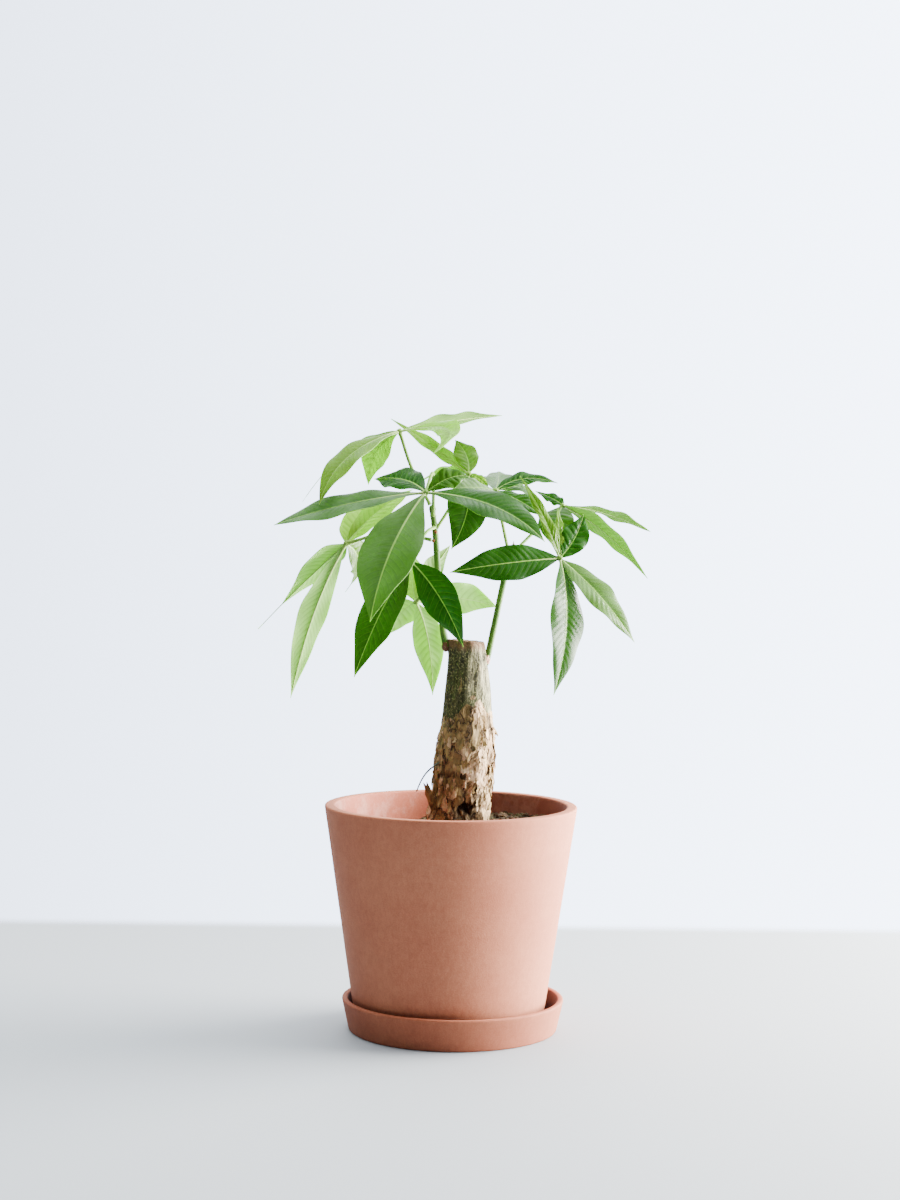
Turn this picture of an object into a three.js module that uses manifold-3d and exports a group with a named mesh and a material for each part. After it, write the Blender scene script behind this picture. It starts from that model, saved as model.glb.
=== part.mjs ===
// A potted money tree (a palmate-leaved house plant) in a plain clay pot on its saucer.
// Millimetres, +Z up, -Y towards the viewer. The origin is on the ground under the pot's axis.
import * as THREE from 'three';
import { mergeVertices } from 'three/addons/utils/BufferGeometryUtils.js';
import Module from 'manifold-3d';

const wasm = await Module();
wasm.setup();

// ---------------------------------------------------------------- driving dimensions
const GAP = 0.3; // clearance between neighbouring solids
const WELD = 1e-4; // points closer than this are one
const RING_SIDES = 36; // sides of the pot, the saucer and the soil

const SAUCER = {
  centreX: 3,
  height: 25.2,
  footRadius: 82.4,
  rimRadius: 88,
  wall: 5,
  floor: 4,
  lipBevel: 1.4,
  footBevel: 1.5,
  cove: 2, // where the inner wall meets the floor
};

const POT = {
  rimRadius: 100,
  baseRadius: 74,
  height: 173.3,
  wall: 8.5,
  floor: 9,
  drainRadius: 7,
  lipHeight: 3, // how tall the lip's rounding is
  lipSteps: 4,
  footBevel: { across: 3, up: 2 },
  cove: 6, // where the inner wall meets the floor
};
POT.bottom = SAUCER.floor + GAP;
POT.top = POT.bottom + POT.height;

// The surface is a low mound that lies higher on the right, with waves on it, whose rates are in
// radians per millimetre.
const SOIL = {
  edgeHeight: 154,
  rightRise: 9, // how much higher the right edge lies than the front and back ones
  cove: 6.5,
  rings: 5,
  mound: 8,
  waveHeight: 0.9,
  crumbs: { alongX: 0.31, alongY: 0.27, shift: 1 },
  hollows: { alongX: 0.13, alongY: -0.37 },
};

// Where the trunk's axis lies and how thick it is, from the soil's depth up to the sawn top.
const TRUNK = {
  sides: 22,
  rings: 24,
  buried: [96, 120, 145],
  soilLine: 158,
  top: 309,
  sawnRim: 3, // how wide the level rim of the dished saw cut is
  sawnDish: 1,
  barkFrom: 5, // nearer to the axis than this, there is no bark
  stations: [
    // height, axis x, radius
    [96, 3, 16],
    [120, 3, 26],
    [150, 4, 26],
    [166, 5, 23.6],
    [180, 8, 23],
    [207, 10, 23.4],
    [235, 12, 21],
    [271, 12, 17.4],
    [296, 11.5, 15],
    [309, 9.8, 14.8],
  ],
};

// Waves in the bark: how many ridges stand round the trunk and how they twist, in radians per
// millimetre of height. The scaly plates fade in below a height.
const BARK = {
  furrows: [
    { height: 0.35, ridges: 7, twist: 0.05 },
    { height: 0.25, ridges: 11, twist: -0.09 },
  ],
  plates: { height: 0.9, ridges: 4, twist: 0.13, bandRidges: 2, bandTwist: 0.21, below: 250, fade: 40 },
};

// One buried root as [distance from the axis, height]; each next root ends a little higher.
const ROOTS = { count: 5, radius: 4.5, centreX: 3, turn: 0.3, rise: 4 };
ROOTS.path = [[6, 118], [28, 108], [44, 82], [50, 54]];

// What stands off the bark: a peeled flake low on the left, a small one that hangs on the right and
// a thin bent aerial root.
const FLAKES = [
  { at: [-11, -10, 170], mid: [-4, -4, 12], tip: [-9, -6, 26], width: 8, face: [0.3, -1, 0.1] },
  { at: [30, -2, 242], mid: [3, 0, -4], tip: [5.5, -1, -9], width: 5, face: [1, -0.4, 0.4] },
];
const AERIAL_ROOT = { radius: 0.6 };
AERIAL_ROOT.path = [[-6, -8, 214], [-15.5, -13, 208], [-20.5, -14, 203], [-24, -13, 197], [-27.5, -12, 189]];

const SHOOT_RADIUS = 2.4;
const SHOOTS = {
  shoot_left: {
    path: [
      [3, -3, 288],
      [-5, -3, 303],
      [-8, -3, 317],
      [-11, -2, 345],
      [-13.4, -1, 373],
      [-14.8, 0, 392],
      [-17.5, 0, 411],
    ],
    collar: { at: [-5.5, -3, 304], radius: 4.2 },
    budRadius: 2.9,
  },
  shoot_right: {
    path: [
      [19, 0, 281],
      [27, 0, 293],
      [32.2, 0, 318],
      [39.4, 0, 354],
      [44.6, 0, 372],
      [46.8, 0, 382],
    ],
    collar: { at: [26, -1, 292.5], radius: 3.8 },
    budRadius: 2,
  },
};

const STALK_RADIUS = 1.3;
const KNOB_RADIUS = 3;
const BLADE = {
  stations: 7,
  across: [-1, -0.5, 0, 0.5, 1],
  thickness: 0.9,
  rootHalfWidth: 1.1,
  tipHalfWidth: 0.3,
  taper: 1.15,
  fold: 0.3, // how far the halves rise from the midrib, per unit of half width
  droop: 0.2, // how far the edges curl back down
  wave: 1.1,
  waves: 3,
  waveLag: 1.5, // how far the edge waves run ahead of the middle or behind it, in radians
};

// Every compound leaf: where its stalk leaves the shoot, the stalk's bend, the hub that its leaflets
// spread from, and for each leaflet its midrib's middle and its tip (both from the hub), its full
// width and the way that its upper face looks. `widest` is 1 where the blade is widest halfway and
// more where that is nearer the tip; `tail` is the share of the length that a drawn-out tip takes.
const LEAVES = {
  leaf_crown: {
    colour: '#8fb84a',
    root: [-17.5, 0, 411],
    bend: [-34, 2, 443],
    hub: [-44, 5, 472],
    leaflets: [
      { mid: [-39, -47, -23], tip: [-58, -76, -59], width: 21.7, face: [-0.3, -0.8, 0.8], widest: 1 },
      { mid: [-18, 11, -16], tip: [-25, 21, -42], width: 22, face: [0.1, -1, 0.1], widest: 1.05 },
      { mid: [-42, 19, -16], tip: [-78, 29, -56], width: 12, face: [-0.8, 0, 0.7], widest: 0.8, tail: 0.25 },
      { mid: [38, 27, 10], tip: [82, 51, 16], width: 25, face: [-0.1, 0.5, 1], widest: 0.85 },
      { mid: [38, -31, 1], tip: [27, -55, -19], width: 19.2, face: [0.2, -0.8, 0.9], widest: 1.1 },
    ],
  },
  leaf_front: {
    colour: '#2f6e24',
    root: [-16.5, 0, 404],
    bend: [-17, -27, 438],
    hub: [-22, -60, 423],
    leaflets: [
      { mid: [-57, -6, -9], tip: [-115, -2, -26], width: 26.6, face: [0, -0.65, 0.9], widest: 1.2 },
      { mid: [-25, -38, -44], tip: [-39, -62, -96], width: 45, face: [-0.3, -1, 0.5], widest: 1 },
      { mid: [51, -26, -10], tip: [89, -44, -36], width: 36, face: [0.1, -0.6, 1], widest: 1 },
      { mid: [-17, 28, 10], tip: [-41, 54, 11], width: 28.6, face: [-0.1, -1, 0.7], widest: 1.15 },
      { mid: [17, 6, 11], tip: [32, 13, 13], width: 17.7, face: [0.1, -1, 0.6], widest: 1 },
    ],
  },
  leaf_middle: {
    colour: '#4f8f2c',
    root: [-15, 0, 394],
    bend: [-2, 2, 415],
    hub: [11, 5, 439],
    leaflets: [
      { mid: [-25, 23, 20], tip: [-63, 45, 45], width: 12.4, face: [0.1, -1, 0.7], widest: 0.95 },
      { mid: [-1, -27, -29], tip: [-13, -39, -59], width: 32, face: [0.25, -1, 0.5], widest: 0.9 },
      { mid: [-2, 15, 15], tip: [-11, 31, 28], width: 20, face: [0, -1, 0.3], widest: 1 },
      { mid: [-18, 17, 3], tip: [-39, 29, -6], width: 12.4, face: [-0.1, -0.8, 0.6], widest: 1 },
      { mid: [9, -2, -4], tip: [16, -3, -12], width: 6.6, face: [0.1, -1, 0.4], widest: 1 },
    ],
  },
  leaf_upper_right: {
    colour: '#6d9a5c',
    root: [44.4, 0, 371],
    bend: [38, -2, 400],
    hub: [32, -5, 426],
    leaflets: [
      { mid: [-17, -17, 2], tip: [-34, -26, 0], width: 27, face: [0, -0.9, 1], widest: 1 },
      { mid: [3, 33, 9], tip: [4, 69, 17], width: 25, face: [0, -0.4, 1], widest: 1 },
      { mid: [23, 17, 10], tip: [50, 25, 7], width: 14, face: [0.1, -0.8, 0.8], widest: 0.95 },
      { mid: [22, 25, 2], tip: [40, 35, -16], width: 18.7, face: [0, -0.9, 0.6], widest: 1 },
      { mid: [18, -21, -8], tip: [36, -37, -20], width: 17.1, face: [0.1, -0.8, 0.8], widest: 1 },
    ],
  },
  leaf_right_front: {
    colour: '#2f7426',
    root: [43.5, 0, 368],
    bend: [64, -22, 376],
    hub: [81, -50, 374],
    leaflets: [
      { mid: [-42, -18, -4], tip: [-84, -30, -11], width: 28, face: [0.1, -1, 0.3], widest: 0.85 },
      { mid: [4, -30, -47], tip: [-5, -36, -102], width: 33.2, face: [0.75, -0.85, 0.25], widest: 1 },
      { mid: [30, -12, -28], tip: [57, -12, -63], width: 26.7, face: [0.5, -0.8, 0.6], widest: 0.9 },
      { mid: [12, 10, 16], tip: [19, 20, 34], width: 21.1, face: [0, -1, 0.1], widest: 0.95 },
      { mid: [-13, -1, 32], tip: [-31, 10, 63], width: 10.1, face: [0.4, -1, 0.4], widest: 0.85 },
      { mid: [0, 8, 20], tip: [-1, 22, 39], width: 7.3, face: [0.5, -1, 0.2], widest: 1 },
    ],
  },
  leaf_right_back: {
    colour: '#7fae3e',
    root: [45.4, 0, 376],
    bend: [66, 20, 396],
    hub: [87, 35, 415],
    leaflets: [
      { mid: [35, 13, -5], tip: [73, 21, -20], width: 20, face: [0.1, 0.3, 1], widest: 1.35 },
      { mid: [34, -11, -21], tip: [67, -23, -57], width: 22, face: [0.3, 0.6, 0.7], widest: 0.85 },
      { mid: [-6, 9, 5], tip: [-21, 23, 12], width: 11.2, face: [0, -1, 0.3], widest: 1 },
      { mid: [-6, -19, -13], tip: [-9, -29, -32], width: 30, face: [-0.3, -1, 0.5], widest: 1 },
      { mid: [11, 23, -3], tip: [18, 43, -10], width: 16, face: [0.2, -0.3, 1], widest: 1 },
    ],
  },
  leaf_left: {
    colour: '#a9cf86',
    root: [-14.4, 0, 386],
    bend: [-50, 11, 392],
    hub: [-86, 25, 383],
    leaflets: [
      { mid: [-29, 15, -26], tip: [-73, 33, -71], width: 29, face: [-0.6, 0.8, 0.6], widest: 0.8, tail: 0.2 },
      { mid: [-26, 15, -55], tip: [-46, 33, -127], width: 25, face: [-0.5, 1, 0.4], widest: 1.05 },
      { mid: [9, 21, -17], tip: [-2, 27, -40], width: 27, face: [0.3, -1, 0.2], widest: 0.85, tail: 0.12 },
      { mid: [10, 20, 21], tip: [28, 45, 39], width: 26, face: [-0.2, -0.7, 0.6], widest: 0.8 },
      { mid: [24, 9, 25], tip: [52, 21, 44], width: 25, face: [-0.4, -0.9, 0.8], widest: 0.9 },
    ],
  },
  leaf_low_front: {
    colour: '#2a6318',
    root: [-15.2, 0, 397],
    bend: [-23, -20, 391],
    hub: [-33, -35, 370],
    leaflets: [
      { mid: [23, -11, -28], tip: [41, -9, -65], width: 28, face: [-0.1, -1, 0.1], widest: 0.9 },
      { mid: [-22, -17, -38], tip: [-42, -27, -88], width: 36, face: [-0.5, -1, 0.6], widest: 1 },
      { mid: [-20, 9, -8], tip: [-34, 21, -23], width: 26, face: [-0.3, -0.5, 1], widest: 1 },
      { mid: [-6, 31, -10], tip: [-9, 47, -28], width: 26, face: [-0.3, -0.8, 0.6], widest: 1 },
    ],
  },
  leaf_low_back: {
    colour: '#a3cc80',
    root: [-11.4, -2, 349],
    bend: [-19, 26, 349],
    hub: [-30, 45, 336],
    leaflets: [
      { mid: [10, 15, -32], tip: [14, 21, -77], width: 25, face: [0.1, 1, 0.3], widest: 0.95 },
      { mid: [-12, 13, -9], tip: [-26, 21, -30], width: 24, face: [-0.3, 1, 0.3], widest: 1 },
      { mid: [-4, 17, 19], tip: [-4, 35, 39], width: 24, face: [-0.3, -1, 0.5], widest: 1 },
      { mid: [33, 15, 3], tip: [66, 21, -4], width: 29, face: [-0.1, 1, 0.5], widest: 1 },
      { mid: [11, 19, 22], tip: [27, 33, 46], width: 21, face: [-0.5, 1, 0.2], widest: 1 },
    ],
  },
};

// ---------------------------------------------------------------- helpers
const vector = ([x, y, z]) => new THREE.Vector3(x, y, z);

function toSolid(geometry) {
  geometry.deleteAttribute('normal');
  geometry.deleteAttribute('uv');
  const merged = mergeVertices(geometry, WELD);
  const vertProperties = new Float32Array(merged.attributes.position.array);
  const triVerts = new Uint32Array(merged.index.array);
  return new wasm.Manifold(new wasm.Mesh({ numProp: 3, vertProperties, triVerts }));
}

function toGeometry(solid) {
  const mesh = solid.getMesh();
  const geometry = new THREE.BufferGeometry();
  geometry.setAttribute('position', new THREE.Float32BufferAttribute(mesh.vertProperties, 3));
  geometry.setIndex(Array.from(mesh.triVerts));
  geometry.computeVertexNormals();
  return geometry;
}

const join = (solids) => solids.reduce((whole, piece) => whole.add(piece));

// Cuts the room for a neighbour out of a solid and drops the offcuts.
function cutClear(solid, room) {
  const pieces = solid.subtract(room).decompose();
  return pieces.reduce((largest, piece) => (piece.volume() > largest.volume() ? piece : largest));
}

// A closed profile of [radius, height] points, turned about the Z axis.
function turned(profile, sides) {
  const points = profile.map(([radius, height]) => new THREE.Vector2(radius, height));
  return new THREE.LatheGeometry(points, sides).rotateX(Math.PI / 2);
}

function ball(centre, radius) {
  const sides = 6;
  const rings = 5;
  return toSolid(new THREE.SphereGeometry(radius, sides, rings).translate(...centre));
}

function tube(points, radius, { sides, steps }) {
  const section = new THREE.Shape();
  for (let side = 0; side < sides; side += 1) {
    const angle = (2 * Math.PI * side) / sides;
    const corner = [radius * Math.cos(angle), radius * Math.sin(angle)];
    if (side === 0) section.moveTo(...corner);
    else section.lineTo(...corner);
  }
  const extrudePath = new THREE.CatmullRomCurve3(points.map(vector));
  return toSolid(new THREE.ExtrudeGeometry(section, { steps, extrudePath, bevelEnabled: false }));
}

// Reads a column of a table of [height, ...values] stations at any height, in straight steps.
function atHeight(stations, height, column) {
  const last = stations.length - 1;
  const reached = stations.findIndex((station) => station[0] >= height);
  const upper = reached < 0 ? last : Math.max(reached, 1);
  const [low, high] = [stations[upper - 1], stations[upper]];
  const share = THREE.MathUtils.clamp((height - low[0]) / (high[0] - low[0]), 0, 1);
  return THREE.MathUtils.lerp(low[column], high[column], share);
}

// Moves every vertex of a geometry by a rule that depends on its place only, so seams stay closed.
function reshape(geometry, rule) {
  const position = geometry.attributes.position;
  const point = new THREE.Vector3();
  for (let index = 0; index < position.count; index += 1) {
    point.fromBufferAttribute(position, index);
    rule(point);
    position.setXYZ(index, point.x, point.y, point.z);
  }
  return geometry;
}

// ---------------------------------------------------------------- pot, saucer and soil
function saucerGeometry() {
  const { height, footRadius, rimRadius, wall, floor, lipBevel, footBevel, cove } = SAUCER;
  const slope = (rimRadius - footRadius) / height;
  return turned([
    [0, 0],
    [footRadius - footBevel, 0],
    [footRadius, footBevel],
    [rimRadius - slope * lipBevel, height - lipBevel],
    [rimRadius - lipBevel, height],
    [rimRadius - wall + lipBevel, height],
    [rimRadius - wall, height - lipBevel],
    [footRadius - wall + slope * floor, floor + cove],
    [footRadius - wall - cove, floor],
    [0, floor],
  ], RING_SIDES);
}

function potOuterRadius(height) {
  return THREE.MathUtils.mapLinear(height, POT.bottom, POT.top, POT.baseRadius, POT.rimRadius);
}

const potInnerRadius = (height) => potOuterRadius(height) - POT.wall;

function potGeometry() {
  const { bottom, top, wall, drainRadius, baseRadius, lipHeight, lipSteps, footBevel, cove } = POT;
  const profile = [
    [drainRadius, bottom],
    [baseRadius - footBevel.across, bottom],
    [potOuterRadius(bottom + footBevel.up), bottom + footBevel.up],
  ];
  const lipMiddle = potOuterRadius(top) - wall / 2;
  for (let step = 0; step <= lipSteps; step += 1) {
    const angle = (Math.PI * step) / lipSteps;
    const rise = lipHeight * (Math.sin(angle) - 1);
    profile.push([lipMiddle + (wall / 2) * Math.cos(angle), top + rise]);
  }
  const floorTop = bottom + POT.floor;
  profile.push([potInnerRadius(top / 2), top / 2]);
  profile.push([potInnerRadius(floorTop + cove), floorTop + cove]);
  profile.push([potInnerRadius(floorTop) - cove, floorTop]);
  profile.push([drainRadius, floorTop]);
  profile.push([drainRadius, bottom]);
  return turned(profile, RING_SIDES);
}

function soilGeometry() {
  const { edgeHeight, rightRise, cove, rings, mound, waveHeight, crumbs, hollows } = SOIL;
  const base = POT.bottom + POT.floor + GAP;
  const edge = potInnerRadius(edgeHeight) - GAP;
  const profile = [
    [0, base],
    [potInnerRadius(base) - cove, base],
    [potInnerRadius(base + cove) - GAP, base + cove],
    [potInnerRadius(POT.top / 2) - GAP, POT.top / 2],
    [edge, edgeHeight],
  ];
  for (let ring = 1; ring <= rings; ring += 1) {
    profile.push([edge * (1 - ring / rings), edgeHeight]);
  }
  return reshape(turned(profile, RING_SIDES), (point) => {
    if (point.z < edgeHeight - WELD) return;
    const reach = Math.hypot(point.x, point.y) / edge;
    const crumb = Math.sin(crumbs.alongX * point.x + crumbs.shift) * Math.cos(crumbs.alongY * point.y);
    const hollow = Math.sin(hollows.alongX * point.x + hollows.alongY * point.y);
    point.z += (rightRise * point.x) / edge + mound * (1 - reach ** 2);
    point.z += waveHeight * (crumb + hollow) * (1 - reach ** 4);
    const fit = (potInnerRadius(point.z) - GAP) / edge;
    point.x *= fit;
    point.y *= fit;
  });
}

// ---------------------------------------------------------------- trunk
// Height of the bark above the trunk's smooth surface: long furrows, with scaly plates lower down.
function barkRelief(angle, height) {
  const { furrows, plates } = BARK;
  const wave = (ridges, twist) => Math.sin(ridges * angle + twist * height);
  const furrow = furrows.reduce((sum, part) => sum + part.height * wave(part.ridges, part.twist), 0);
  const plate = wave(plates.ridges, plates.twist) * wave(plates.bandRidges, plates.bandTwist);
  const scaly = THREE.MathUtils.smoothstep(plates.below - height, 0, plates.fade);
  return furrow + scaly * plates.height * plate;
}

function trunkBody(clearance) {
  const { sides, rings, buried, soilLine, top, stations, sawnRim, sawnDish, barkFrom } = TRUNK;
  const radiusAt = (height) => atHeight(stations, height, 2) + clearance;
  const profile = [[0, buried[0] - clearance], [radiusAt(buried[0]), buried[0] - clearance]];
  profile.push(...buried.slice(1).map((height) => [radiusAt(height), height]));
  for (let ring = 0; ring < rings; ring += 1) {
    const height = THREE.MathUtils.lerp(soilLine, top, ring / rings);
    profile.push([radiusAt(height), height]);
  }
  profile.push([radiusAt(top), top + clearance]);
  profile.push([radiusAt(top) - sawnRim, top + clearance]);
  profile.push([0, top - sawnDish + clearance]);
  return toSolid(reshape(turned(profile, sides), (point) => {
    const radius = Math.hypot(point.x, point.y);
    const angle = Math.atan2(point.y, point.x);
    const grown = radius > barkFrom ? (radius + barkRelief(angle, point.z)) / radius : 1;
    point.x = point.x * grown + atHeight(stations, point.z, 1);
    point.y *= grown;
  }));
}

function roots(clearance) {
  const { count, radius, centreX, turn, rise, path } = ROOTS;
  const solids = [];
  for (let root = 0; root < count; root += 1) {
    const angle = (2 * Math.PI * (root + turn)) / count;
    const points = path.map(([distance, height]) => (
      [centreX + distance * Math.cos(angle), distance * Math.sin(angle), height]
    ));
    points[points.length - 1][2] += rise * root - clearance;
    solids.push(tube(points, radius + clearance, { sides: 5, steps: 4 }));
  }
  return join(solids);
}

function barkTrims() {
  return join([
    ...FLAKES.map((flake) => toSolid(bladeGeometry(flake.at, flake))),
    tube(AERIAL_ROOT.path, AERIAL_ROOT.radius, { sides: 5, steps: 8 }),
  ]);
}

// ---------------------------------------------------------------- shoots
function shootSolid({ path, collar, budRadius }, clearance) {
  const last = path[path.length - 1];
  return join([
    tube(path, SHOOT_RADIUS + clearance, { sides: 8, steps: 10 }),
    ball(collar.at, collar.radius + clearance),
    ball(last, budRadius + clearance),
  ]);
}

// ---------------------------------------------------------------- leaves
// How full a blade is at a share of its length, from 0 to 1, and half its width there.
function bladeOutline(along, { width, widest = 1, tail = 0 }) {
  const reached = Math.min(along / (1 - tail), 1);
  const outline = Math.max(Math.sin(Math.PI * reached ** widest), 0) ** BLADE.taper;
  const least = THREE.MathUtils.lerp(BLADE.rootHalfWidth, BLADE.tipHalfWidth, along);
  const half = Math.cbrt(((width / 2) * outline) ** 3 + least ** 3);
  return { outline, half };
}

// One waved leaflet: rows of points across the midrib, the same on both faces, closed at the edges.
function bladeGeometry(hub, leaflet) {
  const { mid, tip, face } = leaflet;
  const start = vector(hub);
  const middle = vector(mid).add(start);
  const end = vector(tip).add(start);
  // The curve's handle, placed so that the midrib passes through the given middle.
  const handle = middle.multiplyScalar(2).addScaledVector(start, -0.5).addScaledVector(end, -0.5);
  const midrib = new THREE.QuadraticBezierCurve3(start, handle, end);
  const upper = vector(face).normalize();
  const columns = BLADE.across.length;
  const positions = [];
  for (let station = 0; station <= BLADE.stations; station += 1) {
    const along = station / BLADE.stations;
    const point = midrib.getPoint(along);
    const tangent = midrib.getTangent(along);
    upper.addScaledVector(tangent, -upper.dot(tangent)).normalize();
    const sideways = new THREE.Vector3().crossVectors(tangent, upper);
    const { outline, half } = bladeOutline(along, leaflet);
    for (const faceSide of [0.5, -0.5]) {
      for (const across of BLADE.across) {
        const phase = 2 * Math.PI * BLADE.waves * along + BLADE.waveLag * across;
        const ripple = BLADE.wave * Math.sin(phase) * across ** 2 * outline;
        const lift = half * (BLADE.fold * Math.abs(across) - BLADE.droop * across ** 2) + ripple;
        const corner = point.clone().addScaledVector(sideways, across * half);
        corner.addScaledVector(upper, lift + faceSide * BLADE.thickness);
        positions.push(corner.x, corner.y, corner.z);
      }
    }
  }
  const geometry = new THREE.BufferGeometry();
  geometry.setAttribute('position', new THREE.Float32BufferAttribute(positions, 3));
  geometry.setIndex(bladeTriangles(columns));
  return geometry;
}

function bladeTriangles(columns) {
  const triangles = [];
  const quad = (a, b, c, d) => triangles.push(a, b, c, a, c, d);
  const above = (station, column) => station * 2 * columns + column;
  const below = (station, column) => above(station, column) + columns;
  for (let station = 0; station < BLADE.stations; station += 1) {
    const next = station + 1;
    for (let column = 0; column < columns - 1; column += 1) {
      const side = column + 1;
      quad(above(station, column), above(station, side), above(next, side), above(next, column));
      triangles.push(below(station, column), below(next, side), below(station, side));
      triangles.push(below(station, column), below(next, column), below(next, side));
    }
    const last = columns - 1;
    quad(above(station, last), below(station, last), below(next, last), above(next, last));
    quad(above(station, 0), above(next, 0), below(next, 0), below(station, 0));
  }
  for (let column = 0; column < columns - 1; column += 1) {
    const side = column + 1;
    const end = BLADE.stations;
    quad(above(0, column), below(0, column), below(0, side), above(0, side));
    quad(above(end, column), above(end, side), below(end, side), below(end, column));
  }
  return triangles;
}

function leafSolid({ root, bend, hub, leaflets }) {
  const stalk = tube([root, bend, hub], STALK_RADIUS, { sides: 5, steps: 8 });
  const blades = leaflets.map((leaflet) => toSolid(bladeGeometry(hub, leaflet)));
  return join([stalk, ball(hub, KNOB_RADIUS), ...blades]);
}

// ---------------------------------------------------------------- the assembly
const plant = new THREE.Group();

function place(name, geometry, color, roughness) {
  const mesh = new THREE.Mesh(geometry, new THREE.MeshStandardMaterial({ color, roughness }));
  mesh.name = name;
  plant.add(mesh);
  return mesh;
}

const CLAY_ROUGHNESS = 0.75;
const SHOOT_ROUGHNESS = 0.5;
const LEAF_ROUGHNESS = 0.45;

const trunk = join([trunkBody(0), roots(0), barkTrims()]);
const trunkRoom = join([trunkBody(GAP), roots(GAP)]);
const shootRoom = join(Object.values(SHOOTS).map((shoot) => shootSolid(shoot, GAP)));

place('saucer', saucerGeometry(), '#a86a50', CLAY_ROUGHNESS).position.x = SAUCER.centreX;
place('pot', potGeometry(), '#c98f78', CLAY_ROUGHNESS);
place('soil', toGeometry(cutClear(toSolid(soilGeometry()), trunkRoom)), '#4a3a28', 1);
place('trunk', toGeometry(trunk), '#8a7a5c', 0.9);
for (const [name, shoot] of Object.entries(SHOOTS)) {
  const solid = cutClear(shootSolid(shoot, 0), trunkRoom);
  place(name, toGeometry(solid), '#4c7a2c', SHOOT_ROUGHNESS);
}
for (const [name, leaf] of Object.entries(LEAVES)) {
  place(name, toGeometry(cutClear(leafSolid(leaf), shootRoom)), leaf.colour, LEAF_ROUGHNESS);
}

export default plant;
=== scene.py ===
"""A potted money tree: the finished surfaces and the finer forms over its CAD nodes, in metres."""

import math
import random

import bpy
import numpy as np
from mathutils import Matrix, Vector, noise


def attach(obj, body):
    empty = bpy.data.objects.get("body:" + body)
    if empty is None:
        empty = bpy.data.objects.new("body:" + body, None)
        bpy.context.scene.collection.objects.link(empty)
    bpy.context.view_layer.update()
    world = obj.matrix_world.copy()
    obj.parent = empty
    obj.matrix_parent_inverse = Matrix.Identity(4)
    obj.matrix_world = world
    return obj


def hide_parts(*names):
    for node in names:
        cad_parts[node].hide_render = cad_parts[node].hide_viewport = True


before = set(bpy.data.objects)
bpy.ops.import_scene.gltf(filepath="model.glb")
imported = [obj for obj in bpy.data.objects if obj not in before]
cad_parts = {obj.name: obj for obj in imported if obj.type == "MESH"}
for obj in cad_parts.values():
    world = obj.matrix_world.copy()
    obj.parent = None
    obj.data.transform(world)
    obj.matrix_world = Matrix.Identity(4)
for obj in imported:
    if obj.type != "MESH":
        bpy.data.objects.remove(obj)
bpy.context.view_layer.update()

MM = 0.001
TURN = 2 * math.pi

# ---- driving sizes, millimetres
SAUCER = {"centre_x": 3, "bottom": 0, "top": 25.2, "foot": 82.4, "rim": 88, "wall": 5, "floor": 4}
POT = {"centre_x": 0, "bottom": 4.3, "top": 177.6, "foot": 74, "rim": 100, "wall": 8.5, "floor": 9}
DRAIN_RADIUS = 7
# The saucer is closed but for this on its axis.
PINHOLE = 0.01
SOIL = {"edge_height": 154, "right_rise": 9, "mound": 8}
TRUNK_TOP = 309
TRUNK = [
    # height, axis x, radius
    (120, 3, 26),
    (150, 4, 26),
    (166, 5, 23.6),
    (180, 8, 23),
    (207, 10, 23.4),
    (235, 12, 21),
    (271, 12, 17.4),
    (296, 11.5, 15),
    (309, 9.8, 14.8),
]
# The hole that the trunk makes in the soil, for the crumbs that lie round it.
TRUNK_FOOT = {"x": 5, "radius": 26}
# The fine bark's grid, its lower end in the soil and the top of its scaly part.
BARK_ROWS = 300
BARK_SIDES = 240
BARK_FOOT = 146
SCALY_TOP = 242
# The hollow low on the front, where the trunk has the given radius; it is painted dark, as painted shade
# inside it.
HOLLOW = {"angle": math.radians(-80), "height": 177, "radius": 23}
HOLLOW.update({"wide": 6.5, "tall": 6, "deep": 2.6})
# Loose scraps of bark: height and lift in millimetres, width in radians round the trunk.
SCRAPS = [
    {"number": 60, "tall": (9, 22), "wide": (0.14, 0.36), "lift": (0.4, 1.6)},
    {"number": 200, "tall": (2.5, 9), "wide": (0.05, 0.16), "lift": (0.5, 2)},
]
SCRAP_POINTS = 13
# Torn flakes of bark: where one is held, its middle and tip from there, and the way it faces.
FLAKES = [
    {"at": (-11, -10, 170), "mid": (-4, -4, 12), "tip": (-9, -6, 26), "width": 8, "face": (0.3, -1, 0.1)},
    {"at": (30, -2, 242), "mid": (3, 0, -4), "tip": (5.5, -1, -9), "width": 5, "face": (1, -0.4, 0.4)},
]
AERIAL_ROOT = [(-6, -8, 214), (-15.5, -13, 208), (-20.5, -14, 203), (-24, -13, 197), (-27.5, -12, 189)]
SHOOT_RADIUS = 2.4
SHOOTS = {
    "shoot_left": {
        "path": [
            (-5, -3, 303), (-8, -3, 317), (-11, -2, 345),
            (-13.4, -1, 373), (-14.8, 0, 392), (-17.5, 0, 411),
        ],
        "collar": (-5.5, -3, 303.5),
        "collar_radius": 3.4, "collar_tall": 1.5, "bud": 2.9,
        "scars": [(-14.6, -1.6, 393), (-16, -1.4, 386)],
    },
    "shoot_right": {
        "path": [
            (25, -1, 290), (27, 0, 293), (32.2, 0, 318),
            (39.4, 0, 354), (44.6, 0, 372), (46.8, 0, 382),
        ],
        "collar": (26, -1, 292.5),
        "collar_radius": 3.6, "collar_tall": 1.1, "bud": 2,
        "scars": [(44.5, -1.5, 370)],
    },
}
# Shares of the way up a shoot at which it thickens.
STEM_JOINTS = (0.52, 0.66, 0.78, 0.88, 0.95)
STALK_RADIUS = 1.3
KNOB_RADIUS = 3
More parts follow.
